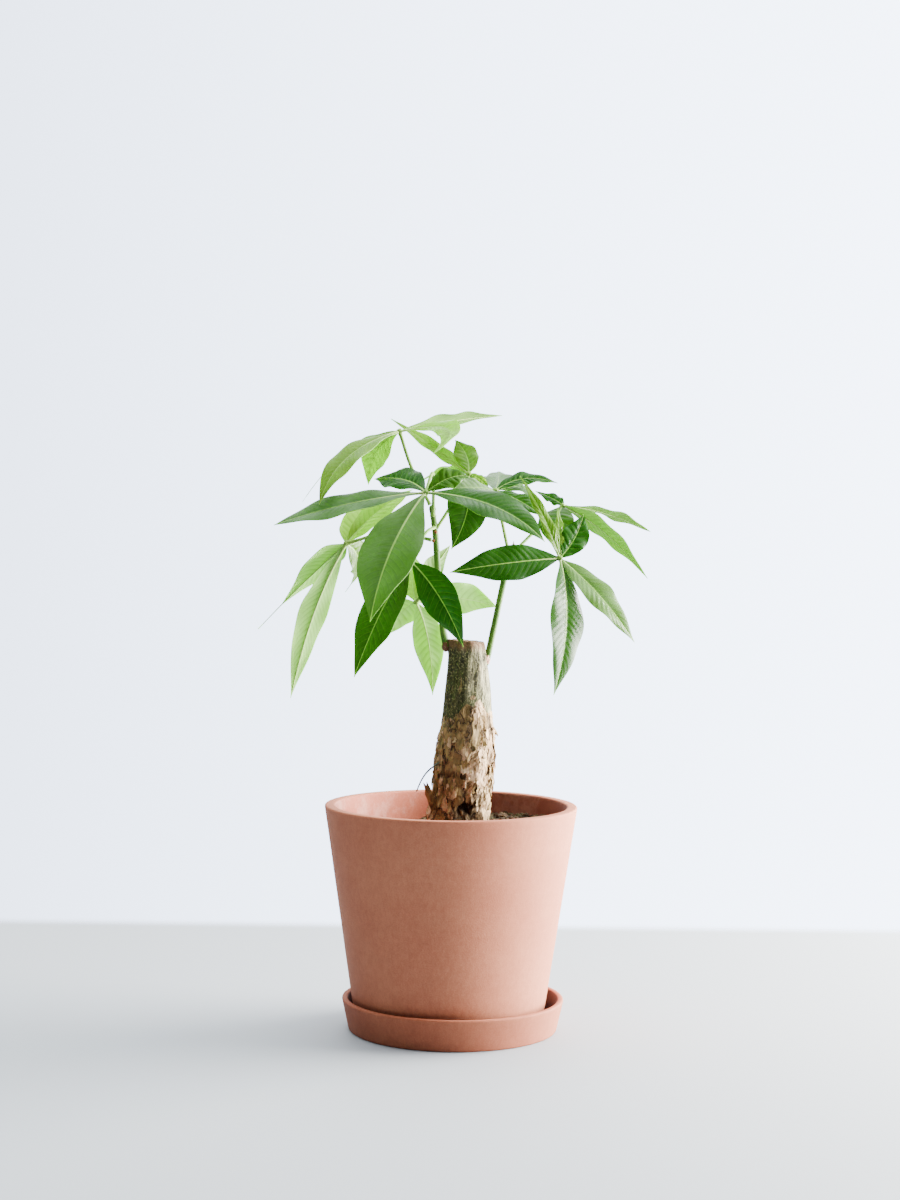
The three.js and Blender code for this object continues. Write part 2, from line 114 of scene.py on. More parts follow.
# A leaflet's thickness, least half widths at its ends and roundness of outline, and how it folds
# along the midrib, droops at the sides and waves at the edges.
BLADE = {"thickness": 0.6, "root": 1.1, "tip": 0.3, "taper": 1.15}
BLADE.update({"fold": 0.3, "droop": 0.2, "wave": 1.1, "waves": 3})
BLADE_STATIONS = 145
BLADE_COLUMNS = 17
# Slow waves of a leaflet's width and quilting: how strong, how many, and the shift to the next one.
EDGE_WAVE = (0.035, 1.3, 0.37)
EDGE_RIPPLE = (0.012, 4.7, 0.23)
PUFF_WAVE = (0.35, 2.6, 0.31)
# The gap between side veins, how far they sweep to the tip, as a share of the length, and how high
# the blade is quilted between them where its tone is 0 and 1.
VEIN_GAP = 5.6
VEIN_SWEEP = 0.13
PUFF = (0.75, 0.36)
# Half the midrib's width at the root and the tip, as a share of the leaflet's width, and its radius
# below the blade, at shares of the way, on a leaflet of the given length.
MIDRIB = (0.02, 0.008)
MIDRIB_TUBE = ((0, 0.08, 0.3, 1), (1.15, 0.95, 0.62, 0.2))
MIDRIB_TUBE_LENGTH = 110


def leaflet(mid, tip, width, face, widest, tone, tail=0.0, bloom=0.0):
    """Middle and tip of the midrib from the hub, full width, the way the upper face looks, and more.

    widest is 1 where the blade is widest halfway and more where that is nearer the tip, tone runs from 0,
    deep green, to 1, pale yellow-green, tail is the drawn-out tip's share of the length and bloom is how
    much painted pale sheen, standing in for reflected light, the upper face carries.
    """
    form = {"mid": mid, "tip": tip, "width": width, "face": face}
    form.update({"widest": widest, "tone": tone, "tail": tail, "bloom": bloom})
    return form


def leaf(root, bend, hub, *leaflets):
    """A compound leaf as in the CAD: where its stalk leaves the shoot, its bend, hub and leaflets."""
    return {"root": root, "bend": bend, "hub": hub, "leaflets": leaflets}


LEAVES = {
    "leaf_crown": leaf(
        (-17.5, 0, 411), (-34, 2, 443), (-44, 5, 472),
        leaflet((-39, -47, -23), (-58, -76, -59), 21.7, (-0.3, -0.8, 0.8), 1, 0.45),
        leaflet((-18, 11, -16), (-25, 21, -42), 22, (0.1, -1, 0.1), 1.05, 0.95),
        leaflet((-42, 19, -16), (-78, 29, -56), 12, (-0.8, 0, 0.7), 0.8, 0.4, tail=0.25),
        leaflet((38, 27, 10), (82, 51, 16), 25, (-0.1, 0.5, 1), 0.85, 0.15),
        leaflet((38, -31, 1), (27, -55, -19), 19.2, (0.2, -0.8, 0.9), 1.1, 0.7, bloom=0.1),
    ),
    "leaf_front": leaf(
        (-16.5, 0, 404), (-17, -27, 438), (-22, -60, 423),
        leaflet((-57, -6, -9), (-115, -2, -26), 26.6, (0, -0.65, 0.9), 1.2, 0.08, bloom=0.14),
        leaflet((-25, -38, -44), (-39, -62, -96), 45, (-0.3, -1, 0.5), 1, 0.14, bloom=0.06),
        leaflet((51, -26, -10), (89, -44, -36), 36, (0.1, -0.6, 1), 1, 0.03),
        leaflet((-17, 28, 10), (-41, 54, 11), 28.6, (-0.1, -1, 0.7), 1.15, 0),
        leaflet((17, 6, 11), (32, 13, 13), 17.7, (0.1, -1, 0.6), 1, 0.1),
    ),
    "leaf_middle": leaf(
        (-15, 0, 394), (-2, 2, 415), (11, 5, 439),
        leaflet((-25, 23, 20), (-63, 45, 45), 12.4, (0.1, -1, 0.7), 0.95, 0.7),
        leaflet((-1, -27, -29), (-13, -39, -59), 32, (0.25, -1, 0.5), 0.9, 0.03),
        leaflet((-2, 15, 15), (-11, 31, 28), 20, (0, -1, 0.3), 1, 0.3),
        leaflet((-18, 17, 3), (-39, 29, -6), 12.4, (-0.1, -0.8, 0.6), 1, 0.85, bloom=0.1),
        leaflet((9, -2, -4), (16, -3, -12), 6.6, (0.1, -1, 0.4), 1, 0.85),
    ),
    "leaf_upper_right": leaf(
        (44.4, 0, 371), (38, -2, 400), (32, -5, 426),
        leaflet((-17, -17, 2), (-34, -26, 0), 27, (0, -0.9, 1), 1, 0.25, bloom=0.18),
        leaflet((3, 33, 9), (4, 69, 17), 25, (0, -0.4, 1), 1, 0.15, bloom=0.15),
        leaflet((23, 17, 10), (50, 25, 7), 14, (0.1, -0.8, 0.8), 0.95, 0),
        leaflet((22, 25, 2), (40, 35, -16), 18.7, (0, -0.9, 0.6), 1, 0.05),
        leaflet((18, -21, -8), (36, -37, -20), 17.1, (0.1, -0.8, 0.8), 1, 0.05),
    ),
    "leaf_right_front": leaf(
        (43.5, 0, 368), (64, -22, 376), (81, -50, 374),
        leaflet((-42, -18, -4), (-84, -30, -11), 28, (0.1, -1, 0.3), 0.85, 0),
        leaflet((4, -30, -47), (-5, -36, -102), 33.2, (0.75, -0.85, 0.25), 1, 0.03),
        leaflet((30, -12, -28), (57, -12, -63), 26.7, (0.5, -0.8, 0.6), 0.9, 0.2, bloom=0.06),
        leaflet((12, 10, 16), (19, 20, 34), 21.1, (0, -1, 0.1), 0.95, 0),
        leaflet((-13, -1, 32), (-31, 10, 63), 10.1, (0.4, -1, 0.4), 0.85, 0.35),
        leaflet((0, 8, 20), (-1, 22, 39), 7.3, (0.5, -1, 0.2), 1, 0.45),
    ),
    "leaf_right_back": leaf(
        (45.4, 0, 376), (66, 20, 396), (87, 35, 415),
        leaflet((35, 13, -5), (73, 21, -20), 20, (0.1, 0.3, 1), 1.35, 0.15, bloom=0.15),
        leaflet((34, -11, -21), (67, -23, -57), 22, (0.3, 0.6, 0.7), 0.85, 0.35),
        leaflet((-6, 9, 5), (-21, 23, 12), 11.2, (0, -1, 0.3), 1, 0),
        leaflet((-6, -19, -13), (-9, -29, -32), 30, (-0.3, -1, 0.5), 1, 0.1),
        leaflet((11, 23, -3), (18, 43, -10), 16, (0.2, -0.3, 1), 1, 0.45),
    ),
    "leaf_left": leaf(
        (-14.4, 0, 386), (-50, 11, 392), (-86, 25, 383),
        leaflet((-29, 15, -26), (-73, 33, -71), 29, (-0.6, 0.8, 0.6), 0.8, 1, tail=0.2),
        leaflet((-26, 15, -55), (-46, 33, -127), 25, (-0.5, 1, 0.4), 1.05, 1),
        leaflet((9, 21, -17), (-2, 27, -40), 27, (0.3, -1, 0.2), 0.85, 0.3, tail=0.12),
        leaflet((10, 20, 21), (28, 45, 39), 26, (-0.2, -0.7, 0.6), 0.8, 0.9),
        leaflet((24, 9, 25), (52, 21, 44), 25, (-0.4, -0.9, 0.8), 0.9, 0.8),
    ),
    "leaf_low_front": leaf(
        (-15.2, 0, 397), (-23, -20, 391), (-33, -35, 370),
        leaflet((23, -11, -28), (41, -9, -65), 28, (-0.1, -1, 0.1), 0.9, 0),
        leaflet((-22, -17, -38), (-42, -27, -88), 36, (-0.5, -1, 0.6), 1, 0.06),
        leaflet((-20, 9, -8), (-34, 21, -23), 26, (-0.3, -0.5, 1), 1, 0.05),
        leaflet((-6, 31, -10), (-9, 47, -28), 26, (-0.3, -0.8, 0.6), 1, 0),
    ),
    "leaf_low_back": leaf(
        (-11.4, -2, 349), (-19, 26, 349), (-30, 45, 336),
        leaflet((10, 15, -32), (14, 21, -77), 25, (0.1, 1, 0.3), 0.95, 1),
        leaflet((-12, 13, -9), (-26, 21, -30), 24, (-0.3, 1, 0.3), 1, 1),
        leaflet((-4, 17, 19), (-4, 35, 39), 24, (-0.3, -1, 0.5), 1, 1),
        leaflet((33, 15, 3), (66, 21, -4), 29, (-0.1, 1, 0.5), 1, 1),
        leaflet((11, 19, 22), (27, 33, 46), 21, (-0.5, 1, 0.2), 1, 0),
    ),
}


# ---- mesh helpers
def fractal(points, scale, octaves, seed):
    """Smooth noise about 0 at each of an array of points, given in millimetres."""
    shift = Vector((seed * 17.3, seed * 5.1, seed * 9.7))
    return np.array([noise.fractal(Vector(p) * scale + shift, 1.0, 2.0, octaves) for p in points])


def smooth_step(low, high, value):
    share = np.clip((value - low) / (high - low), 0, 1)
    return share * share * (3 - 2 * share)


def unit(vector):
    return np.asarray(vector, float) / np.linalg.norm(vector)


class Pile:
    """Gathers grids into one mesh, in millimetres, with named numbers at each point."""

    def __init__(self, names=()):
        self.names = names
        self.points = []
        self.faces = []
        self.slots = []
        self.values = {name: [] for name in names}
        self.count = 0

    def add(self, points, faces, slot=0, **values):
        self.points.append(points)
        self.faces.extend([tuple(corner + self.count for corner in face) for face in faces])
        self.slots.extend([slot] * len(faces))
        for name in self.names:
            self.values[name].append(np.broadcast_to(values.get(name, 0.0), len(points)))
        self.count += len(points)

    def build(self, node, materials):
        """Makes the piece that replaces a CAD node."""
        mesh = bpy.data.meshes.new(node + "_fine")
        mesh.from_pydata((np.concatenate(self.points) * MM).tolist(), [], self.faces)
        for value in self.names:
            layer = mesh.attributes.new(value, "FLOAT", "POINT")
            layer.data.foreach_set("value", np.concatenate(self.values[value]).astype(np.float32))
        mesh.polygons.foreach_set("material_index", self.slots)
        mesh.polygons.foreach_set("use_smooth", [True] * len(self.faces))
        mesh.update()
        for material in materials:
            mesh.materials.append(material)
        piece = bpy.data.objects.new(node + "_fine", mesh)
        bpy.context.scene.collection.objects.link(piece)
        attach(piece, "root")
        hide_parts(node)


def grid_faces(rows, columns, wrap=False, flip=False):
    """Quads of a grid whose points run column by column within each row."""
    faces = []
    for row in range(rows - 1):
        for column in range(columns if wrap else columns - 1):
            side = (column + 1) % columns
            near, far = row * columns, (row + 1) * columns
            corners = (near + column, near + side, far + side, far + column)
            faces.append(corners[::-1] if flip else corners)
    return faces


def rim(top, bottom, rows, columns):
    """The narrow faces that join the edges of two grids, one above the other."""
    left = [row * columns for row in range(rows)]
    right = [row * columns + columns - 1 for row in range(rows)]
    first = list(range(1, columns - 1))
    last = [(rows - 1) * columns + column for column in first]
    loop = left + last + right[::-1] + first[::-1]
    points = np.concatenate([top[loop], bottom[loop]])
    count = len(loop)
    faces = [(i, (i + 1) % count, count + (i + 1) % count, count + i) for i in range(count)]
    return points, faces


def spline(points, count):
    """Points along a smooth curve through the given ones."""
    knots = np.array(points, float)
    knots = np.vstack([2 * knots[0] - knots[1], knots, 2 * knots[-1] - knots[-2]])
    spans = len(knots) - 3
    found = []
    for place in np.linspace(0, spans, count):
        span = min(int(place), spans - 1)
        t = place - span
        a, b, c, d = knots[span : span + 4]
        square, cubic = 2 * a - 5 * b + 4 * c - d, 3 * b - a - 3 * c + d
        found.append((2 * b + (c - a) * t + square * t**2 + cubic * t**3) / 2)
    return np.array(found)


def bend(start, mid, tip, shares):
    """Points and tangents of a simple curve from the start to the tip; mid and tip are from there."""
    start = np.array(start, float)
    middle, end = start + mid, start + tip
    handle = 2 * middle - (start + end) / 2
    points = np.outer((1 - shares) ** 2, start) + np.outer(2 * shares * (1 - shares), handle)
    points += np.outer(shares**2, end)
    tangents = np.outer(2 * (1 - shares), handle - start) + np.outer(2 * shares, end - handle)
    return points, tangents


def turning(tangents, face):
    """The upper and sideways directions along a path: they begin at face and turn with the path."""
    upper = unit(face)
    uppers = []
    sideways = []
    for tangent in tangents:
        tangent = unit(tangent)
        upper = unit(upper - upper.dot(tangent) * tangent)
        uppers.append(upper)
        sideways.append(np.cross(tangent, upper))
    return np.array(uppers), np.array(sideways)


def sweep(path, radii, sides):
    """Rings of points round a path, and the faces of the closed tube through them."""
    tangents = np.gradient(path, axis=0)
    across = unit(np.cross(tangents[0], (0.3, 1, 0.2)))
    rings = []
    for point, tangent, radius in zip(path, tangents, radii):
        tangent = unit(tangent)
        across = unit(across - across.dot(tangent) * tangent)
        other = np.cross(tangent, across)
        angles = np.arange(sides) * TURN / sides
        outward = np.outer(np.cos(angles), across) + np.outer(np.sin(angles), other)
        rings.append(point + radius * outward)
    count = len(path)
    faces = grid_faces(count, sides, wrap=True)
    faces.append(tuple(range(sides))[::-1])
    faces.append(tuple(range((count - 1) * sides, count * sides)))
    return np.concatenate(rings), faces


def turned(profile, sides):
    """Points and faces of a profile of radii and heights that is turned about Z."""
    angles = np.arange(sides) * TURN / sides
    rings = [
        np.column_stack([r * np.cos(angles), r * np.sin(angles), np.full(sides, float(z))])
        for r, z in profile
    ]
    return np.concatenate(rings), grid_faces(len(profile), sides, wrap=True)


def lump(centre, radius, seed, squash, rough, rings=6, sides=8):
    """A small rough ball."""
    polar = np.repeat(math.pi * np.arange(rings + 1) / rings, sides)
    angles = np.tile(TURN * np.arange(sides) / sides, rings + 1)
    flat = np.sin(polar)
    points = np.column_stack([flat * np.cos(angles), flat * np.sin(angles), np.cos(polar)])
    grown = 1 + rough * fractal(points, 1.3, 2, seed)
    points = points * grown[:, None] * radius * (1, 1, squash) + centre
    return points, grid_faces(rings + 1, sides, wrap=True, flip=True)


# ---- node helpers
class Nodes:
    """A short way to write the nodes of a new material, or of the world where that is given."""

    def __init__(self, name="", world=None):
        self.holder = bpy.data.materials.new(name) if world is None else world
        self.holder.use_nodes = True
        self.tree = self.holder.node_tree
        self.tree.nodes.clear()
        kind = "ShaderNodeOutputMaterial" if world is None else "ShaderNodeOutputWorld"
        self.output = self.tree.nodes.new(kind)

    def node(self, kind, inputs=None, **settings):
        made = self.tree.nodes.new(kind)
        for key, value in settings.items():
            setattr(made, key, value)
        for key, value in (inputs or {}).items():
            if isinstance(value, bpy.types.NodeSocket):
                self.tree.links.new(value, made.inputs[key])
            else:
                made.inputs[key].default_value = value
        return made

    def place(self, tall=1.0):
        """The point in metres, where a tall below 1 draws patterns out in height."""
        where = self.node("ShaderNodeTexCoord").outputs["Object"]
        return self.node("ShaderNodeMapping", {"Vector": where, "Scale": (1, 1, tall)}).outputs[0]

    def axis(self, letter):
        """How far the point lies along the object's own X, Y or Z, in metres."""
        where = self.node("ShaderNodeTexCoord").outputs["Object"]
        return self.node("ShaderNodeSeparateXYZ", {0: where}).outputs[letter]

    def value(self, name):
        return self.node("ShaderNodeAttribute", attribute_name=name).outputs["Fac"]

    def noise(self, where, scale, detail=4.0, rough=0.6):
        inputs = {"Vector": where, "Scale": scale, "Detail": detail, "Roughness": rough}
        return self.node("ShaderNodeTexNoise", inputs).outputs["Fac"]

    def cells(self, where, scale, feature="F1"):
        inputs = {"Vector": where, "Scale": scale}
        return self.node("ShaderNodeTexVoronoi", inputs, feature=feature).outputs["Distance"]

    def ragged_cells(self, where, scale, waviness):
        """The random value of each cell of a mosaic with ragged borders, and the distance to them."""
        wave = self.node("ShaderNodeTexNoise", {"Vector": where, "Scale": scale * 2.2, "Detail": 4})
        inputs = {0: wave.outputs["Color"], 1: (waviness, waviness, waviness), 2: where}
        warped = self.node("ShaderNodeVectorMath", inputs, operation="MULTIPLY_ADD").outputs[0]
        mosaic = self.node("ShaderNodeTexVoronoi", {"Vector": warped, "Scale": scale})
        return mosaic.outputs["Color"], self.cells(warped, scale, "DISTANCE_TO_EDGE")

    def math(self, operation, first, second=0.0):
        return self.node("ShaderNodeMath", {0: first, 1: second}, operation=operation).outputs[0]

    def plus(self, first, second):
        return self.math("ADD", first, second)

    def times(self, first, second):
        return self.math("MULTIPLY", first, second)

    def span(self, value, low, high, to_low=0.0, to_high=1.0, curve="SMOOTHSTEP"):
        """The value carried from the range low to high to another range, and held at its ends."""
        inputs = {"Value": value, "From Min": low, "From Max": high}
        inputs.update({"To Min": to_low, "To Max": to_high})
        made = self.node("ShaderNodeMapRange", inputs, interpolation_type=curve)
        return made.outputs["Result"]

    def mix(self, share, first, second, blend="MIX"):
        """The first colour, with a share of it replaced by the second or multiplied by it."""
        inputs = {0: share, 6: first, 7: second}
        return self.node("ShaderNodeMix", inputs, data_type="RGBA", blend_type=blend).outputs[2]

    def bump(self, height, distance, strength):
        inputs = {"Height": height, "Distance": distance, "Strength": strength}
        return self.node("ShaderNodeBump", inputs).outputs[0]

    def surface(self, shade, roughness, specular, normal):
        """An opaque shader."""
        inputs = {"Base Color": shade, "Roughness": roughness, "Normal": normal}
        inputs["Specular IOR Level"] = specular
        return self.node("ShaderNodeBsdfPrincipled", inputs).outputs[0]

    def finish(self, shader, other=None, share=0.0):
        """Ends the nodes with a shader, or with a share of it replaced by the other."""
        if other is not None:
            shader = self.node("ShaderNodeMixShader", {0: share, 1: shader, 2: other}).outputs[0]
        self.tree.links.new(shader, self.output.inputs["Surface"])
        return self.holder


def colour(red, green, blue):
    """A screen colour, 0 to 255, as the linear one that shaders take."""
    linear = []
    for part in (red, green, blue):
        share = part / 255
        linear.append(share / 12.92 if share <= 0.04045 else ((share + 0.055) / 1.055) ** 2.4)
    return (*linear, 1.0)


# ---- leaves
# Each face's deepest and freshest green, then its side veins and its midrib.
UPPER_GREENS = (30, 76, 8), (140, 180, 50), (112, 156, 60), (148, 188, 90)
LOWER_GREENS = (120, 160, 74), (172, 206, 130), (134, 172, 84), (182, 208, 130)
# The pale colour of the painted sheen, which stands in for light reflected off the upper faces.
PAINTED_SHEEN_COLOUR = colour(176, 200, 178)
LEAF_VALUES = ("along", "across", "rib", "vein", "tone", "bloom")


def leaf_material(name, greens, roughness, through, glow_tint):
    """One face of a leaf: tone sets its green, and veins, midrib, mottling, painted sheen and painted
    shade beside the side veins lie over it.
    """
    deep, fresh, vein, rib = (colour(*green) for green in greens)
    n = Nodes(name)
    where = n.place()
    green = n.mix(n.value("tone"), deep, fresh)
    blotches = n.span(n.noise(where, 90), 0.3, 0.75, 0, 0.25)
    green = n.mix(blotches, green, (0.6, 0.68, 0.5, 1), "MULTIPLY")
    # Painted sheen: pale streaks laid over the upper face, by each leaflet's share, in place of reflected
    # light.
    sheen_streaks = n.span(n.noise(where, 55, 3), 0.35, 0.65, 0.7, 1.3)
    green = n.mix(n.times(n.value("bloom"), sheen_streaks), green, PAINTED_SHEEN_COLOUR)
    inner = n.span(n.value("across"), 0.95, 0.5)
    past = n.math("FRACT", n.value("vein"))
    # Painted shade: each quilted panel is darkened just past its side vein, where the crease would shade
    # it; the same mask also makes the blade rougher there.
    painted_crease_shade = n.times(n.span(past, 0, 0.55, 0.55, 0), inner)
    green = n.mix(painted_crease_shade, green, (0.6, 0.68, 0.55, 1), "MULTIPLY")
    phase = n.math("FRACT", n.plus(n.value("vein"), 0.5))
    apart = n.math("ABSOLUTE", n.math("SUBTRACT", phase, 0.5))
    side_vein = n.times(n.span(apart, 0.08, 0, 0, 0.25), inner)
    shade = n.mix(side_vein, green, vein)
    beyond = n.math("SUBTRACT", n.value("rib"), n.span(n.value("along"), 0, 1, *MIDRIB))
    shade = n.mix(n.span(beyond, 0.004, -0.004, 0, 0.85), shade, rib)
    net = n.math("MINIMUM", n.cells(where, 650, "DISTANCE_TO_EDGE"), 0.25)
    normal = n.bump(net, 0.0003, 0.3)
    shine = n.span(n.noise(where, 160), 0.25, 0.75, roughness - 0.06, roughness + 0.06)
    shine = n.plus(shine, n.times(painted_crease_shade, 0.35))
    surface = n.surface(shade, shine, 0.22, normal)
    glow = n.mix(1.0, shade, glow_tint, "MULTIPLY")
    behind = n.node("ShaderNodeBsdfTranslucent", {"Color": glow, "Normal": normal}).outputs[0]
    return n.finish(surface, behind, through)


def stem_material(name, main, tint, scale=120):
    """A green or brown skin with lengthwise patches and fine pale specks."""
    n = Nodes(name)
    patches = n.noise(n.place(0.25), scale)
    shade = n.mix(n.span(patches, 0.35, 0.7), colour(*main), colour(*tint))
    specks = n.span(n.noise(n.place(), 900, 2), 0.62, 0.72, 0, 0.35)
    shade = n.mix(specks, shade, colour(205, 200, 150))
    return n.finish(n.surface(shade, 0.55, 0.25, n.bump(patches, 0.0004, 0.5)))


def blade(pile, hub, form, seed):
    """Adds one leaflet: an upper face, a lower face, its rim and the raised midrib below."""
    along = np.linspace(0, 1, BLADE_STATIONS)[:, None]
    across = np.linspace(-1, 1, BLADE_COLUMNS)
    away = np.abs(across)
    spine, tangents = bend(hub, form["mid"], form["tip"], along.ravel())
    uppers, sideways = turning(tangents, form["face"])
    length = np.linalg.norm(np.diff(spine, axis=0), axis=1).sum()
    veins = max(6, round(length / VEIN_GAP))
    vein = veins * (along - VEIN_SWEEP * away**1.2)
    reached = np.minimum(along / (1 - form["tail"]), 1)
    outline = np.maximum(np.sin(math.pi * reached ** form["widest"]), 0) ** BLADE["taper"]
    least = BLADE["root"] + (BLADE["tip"] - BLADE["root"]) * along
    half = np.cbrt((form["width"] / 2 * outline) ** 3 + least**3)

    def slow_wave(height, number, shift):
        """A wave along the blade that runs out of step on its two halves."""
        return height * np.sin(TURN * (number * along + shift * seed) + 2.1 * np.sign(across))

    edge = 1 + slow_wave(*EDGE_WAVE) + slow_wave(*EDGE_RIPPLE)
    ripple = np.sin(TURN * BLADE["waves"] * along + across * 1.5) * across**2 * outline
    lift = half * (BLADE["fold"] * away - BLADE["droop"] * across**2) + BLADE["wave"] * ripple
    panel = vein % 1
    puff = 4 * panel * (1 - panel) * np.minimum(4 * away, 1) * (1 - across**4)
    puff *= 0.9 + slow_wave(*PUFF_WAVE)
    lift += (PUFF[0] + (PUFF[1] - PUFF[0]) * form["tone"]) * puff * outline

    top = spine[:, None] + (across * half * edge)[..., None] * sideways[:, None]
    top = top + lift[..., None] * uppers[:, None]
    thick = BLADE["thickness"] * (0.35 + 0.65 * np.sqrt(outline))
    bottom = top - (uppers * thick)[:, None]
    top, bottom = top.reshape(-1, 3), bottom.reshape(-1, 3)
    values = {
        "along": np.repeat(along, BLADE_COLUMNS),
        "across": np.tile(away, BLADE_STATIONS),
        "rib": (away * half / form["width"]).ravel(),
        "vein": vein.ravel(),
        "tone": form["tone"],
    }
    grid = BLADE_STATIONS, BLADE_COLUMNS
    pile.add(top, grid_faces(*grid), 0, bloom=form["bloom"], **values)
    pile.add(bottom, grid_faces(*grid, flip=True), 1, **values)
    values = {"along": 0.5, "vein": 0.5, "tone": form["tone"]}
    pile.add(*rim(top, bottom, *grid), 1, across=1.0, rib=1.0, **values)
    under = bottom[BLADE_COLUMNS // 2 :: BLADE_COLUMNS][: int(BLADE_STATIONS * 0.96)]
    radii = np.interp(np.linspace(0, 1, len(under)), *MIDRIB_TUBE) * length / MIDRIB_TUBE_LENGTH
    pile.add(*sweep(under, np.maximum(radii, 0.2), 8), 2, across=0.0, rib=0.0, **values)


def make_leaf(name, form, materials):
    pile = Pile(LEAF_VALUES)
    stalk = spline([form["root"], form["bend"], form["hub"]], 40)
    share = np.linspace(0, 1, len(stalk))
    radii = STALK_RADIUS * (1 + 0.8 * np.exp(-share * 22) + 0.7 * np.exp(-(1 - share) * 26))
    # The CAD stalk starts at the shoot's surface, so the part inside the shoot is left out.
    outside = np.linalg.norm(stalk - stalk[0], axis=1) >= SHOOT_RADIUS - 0.3
    pile.add(*sweep(stalk[outside], radii[outside], 14), 3, tone=0.6)
    pile.add(*lump(form["hub"], KNOB_RADIUS * 0.82, len(name), 0.9, 0.3, 12, 16), 3, tone=0.6)
    for index, part in enumerate(form["leaflets"]):
        blade(pile, form["hub"], part, index + len(name))
    pile.build(name, materials)


def make_leaves():
    materials = [
        leaf_material("leaf_upper", UPPER_GREENS, 0.28, 0.3, (1.5, 1.6, 0.5, 1)),
        leaf_material("leaf_lower", LOWER_GREENS, 0.58, 0.5, (1.6, 1.75, 0.6, 1)),
        stem_material("leaf_midrib", (170, 196, 120), (150, 182, 96)),
        stem_material("leaf_stalk", (98, 140, 52), (128, 160, 70)),
    ]
    for name, form in LEAVES.items():
        make_leaf(name, form, materials)


# ---- shoots
def spike(base, tall, radius):
    """A short pointed stub, such as a dried bud."""
    path = np.linspace(base, np.add(base, (0.2, 0, tall)), 12)
    return sweep(path, radius * np.linspace(1, 0.15, 12) ** 0.8, 10)


def make_shoots():
    bark = stem_material("green_shoot", (52, 88, 22), (84, 118, 44))
    callus = {
        "shoot_left": stem_material("brown_callus", (98, 60, 42), (74, 48, 34), 300),
        "shoot_right": stem_material("pink_callus", (190, 146, 124), (140, 104, 80), 300),
    }
    scar = stem_material("leaf_scar", (140, 78, 44), (104, 70, 36), 300)
    for name, form in SHOOTS.items():
        pile = Pile()
        path = spline(form["path"], 90)
        share = np.linspace(0, 1, len(path))
        radii = SHOOT_RADIUS * (1.08 - 0.14 * share + 0.25 * np.exp(-share * 7))
        radii += 0.12 * fractal(path, 0.25, 3, 4)
        pile.add(*sweep(path, radii, 24), 0)
        for joint in STEM_JOINTS:
            ring = int(joint * (len(path) - 1))
            pile.add(*lump(path[ring], SHOOT_RADIUS * 1.12, ring, 0.55, 0.25, 10, 16), 0)
        pile.add(*lump(form["collar"], form["collar_radius"], 3, form["collar_tall"], 0.3, 16, 22), 1)
        pile.add(*lump(form["path"][-1], form["bud"], 5, 1.15, 0.3, 12, 16), 0)
        pile.add(*spike(form["path"][-1], 4.5, 0.9), 2)
        for index, place in enumerate(form["scars"]):
            pile.add(*lump(place, 1.7, index, 0.8, 0.3, 10, 14), 2)
        pile.build(name, [bark, callus[name], scar])


# ---- trunk
def trunk_axis(height):
    """The axis's X and the trunk's radius at a height."""
    table = np.array(TRUNK, float)
    return np.interp(height, table[:, 0], table[:, 1]), np.interp(height, table[:, 0], table[:, 2])


def bark_relief(angle, height):
    """The same furrows and scaly plates as the CAD bark."""
    furrows = 0.35 * np.sin(7 * angle + height * 0.05) + 0.25 * np.sin(11 * angle - height * 0.09)
    plates = np.sin(4 * angle + height * 0.13) * np.sin(height * 0.21 + 2 * angle)
    scaly = smooth_step(0, 40, 250 - height)
    return furrows + scaly * 0.9 * plates


def trunk_surface(angle, height, extra=0.0):
    """Points on the bark at given angles and heights."""
    axis, radius = trunk_axis(height)
    reach = radius + bark_relief(angle, height) + extra
    return np.column_stack([axis + reach * np.cos(angle), reach * np.sin(angle), height])


def scaly_share(angle, height):
    """Where the old bark is scaly: 0 on the upper trunk, 1 low down, with a slanting border."""
    border = SCALY_TOP + 14 * np.cos(angle + math.radians(65)) + 3 * np.sin(4 * angle + 1)
    return smooth_step(border + 7, border - 7, height)


def hollow_share(angle, height):
    """1 in the middle of the dark hollow low on the front of the trunk, 0 outside it."""
    across = (angle - HOLLOW["angle"] + math.pi) % TURN - math.pi
    sideways = across * HOLLOW["radius"] / HOLLOW["wide"]
    away = np.hypot(sideways, (height - HOLLOW["height"]) / HOLLOW["tall"])
    return smooth_step(1, 0.45, away)


def drawn_out(points, tall):
    """The points with their heights shrunk, so that noise taken there is long up and down."""
    return points * (1, 1, tall)


